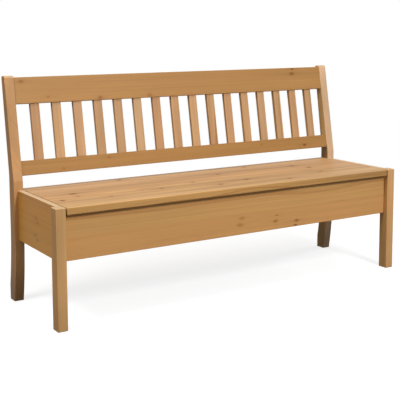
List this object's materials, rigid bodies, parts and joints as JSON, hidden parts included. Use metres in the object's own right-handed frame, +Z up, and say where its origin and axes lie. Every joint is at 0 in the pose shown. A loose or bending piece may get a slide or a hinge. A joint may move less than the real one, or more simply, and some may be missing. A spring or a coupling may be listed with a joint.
{
  "type": "pull-out bench bed",
  "caption": "Slatted-back pine chest bench with a lift-up seat lid; its front board pulls forward on interleaved slats, with fold-down legs, to make a bed.",
  "frame": {"origin": "on the floor, under the middle of the bench's outer box", "axes": "+X along the bench, to the right of someone facing it; +Y from the front to the back; +Z up"},
  "size_m": [1.664, 0.53, 0.916],
  "materials": {
    "pine_posts": "stained and waxed, satin",
    "pine_end_panels": "stained and waxed, satin",
    "pine_boards": "stained and waxed, satin",
    "pine_rails": "stained and waxed, satin",
    "pine_back_slats": "stained and waxed, satin",
    "pine_seat": "stained and waxed, satin",
    "pine_inner_frame": "planed, unfinished",
    "pine_bed_slats": "planed, unfinished",
    "pine_legs": "stained and waxed, satin",
    "beech_dowels": "fluted, unfinished",
    "zinc_screws": "zinc plated",
    "zinc_hardware": "zinc plated",
    "steel_pins": "ground",
    "nylon_spacers": "moulded, matt"
  },
  "bodies": {
    "frame": {"front_post_left": "pine_posts", "front_post_right": "pine_posts", "back_post_left": "pine_posts", "back_post_right": "pine_posts", "end_panel_left": "pine_end_panels", "end_panel_right": "pine_end_panels", "rear_board": "pine_boards", "rear_seat_strip": "pine_seat", "seat_strip_dowels": "beech_dowels", "top_rail": "pine_rails", "lower_back_rail": "pine_rails", "back_slat_01": "pine_back_slats", "back_slat_02": "pine_back_slats", "back_slat_03": "pine_back_slats", "back_slat_04": "pine_back_slats", "back_slat_05": "pine_back_slats", "back_slat_06": "pine_back_slats", "back_slat_07": "pine_back_slats", "back_slat_08": "pine_back_slats", "back_slat_09": "pine_back_slats", "back_slat_10": "pine_back_slats", "back_slat_11": "pine_back_slats", "back_slat_12": "pine_back_slats", "back_slat_13": "pine_back_slats", "back_slat_14": "pine_back_slats", "back_slat_15": "pine_back_slats", "back_slat_16": "pine_back_slats", "lid_cleat_left": "pine_inner_frame", "lid_cleat_right": "pine_inner_frame", "cleat_screws": "zinc_screws", "front_cross_rail": "pine_inner_frame", "cross_rail_dowels": "beech_dowels", "rear_slat_ledger": "pine_inner_frame", "ledger_screws": "zinc_screws", "fixed_bed_slats": "pine_bed_slats", "fixed_slat_screws": "zinc_screws", "lid_pivot_pins": "steel_pins", "lid_spacer_washers": "nylon_spacers"},
    "lid": {"seat_lid": "pine_seat", "lid_batten_left": "pine_inner_frame", "lid_batten_right": "pine_inner_frame", "batten_screws": "zinc_screws"},
    "pull_out": {"front_board": "pine_boards", "pull_out_bed_slats": "pine_bed_slats", "slat_tie_bar": "pine_inner_frame", "tie_bar_screws": "zinc_screws", "leg_stop_left": "pine_inner_frame", "leg_stop_right": "pine_inner_frame", "leg_stop_screws": "zinc_screws", "leg_pivot_bolts": "zinc_hardware", "leg_washers": "zinc_hardware", "leg_lock_nuts": "zinc_hardware"},
    "leg_left": {"folding_leg_left": "pine_legs"},
    "leg_right": {"folding_leg_right": "pine_legs"}
  },
  "joints": [
    {"name": "lid_hinge", "type": "hinge", "parent": "frame", "child": "lid", "pos_m": [0, 0.121, 0.446], "axis": [-1, 0, 0], "range_deg": [0, 102.5]},
    {"name": "bed_slide", "type": "slide", "parent": "frame", "child": "pull_out", "axis": [0, -1, 0], "range_m": [0, 0.2765]},
    {"name": "leg_left_fold", "type": "hinge", "parent": "pull_out", "child": "leg_left", "pos_m": [-0.7327, -0.2075, 0.278], "axis": [0, 1, 0], "range_deg": [0, 90]},
    {"name": "leg_right_fold", "type": "hinge", "parent": "pull_out", "child": "leg_right", "pos_m": [0.7327, -0.2075, 0.278], "axis": [0, -1, 0], "range_deg": [0, 90]}
  ]
}
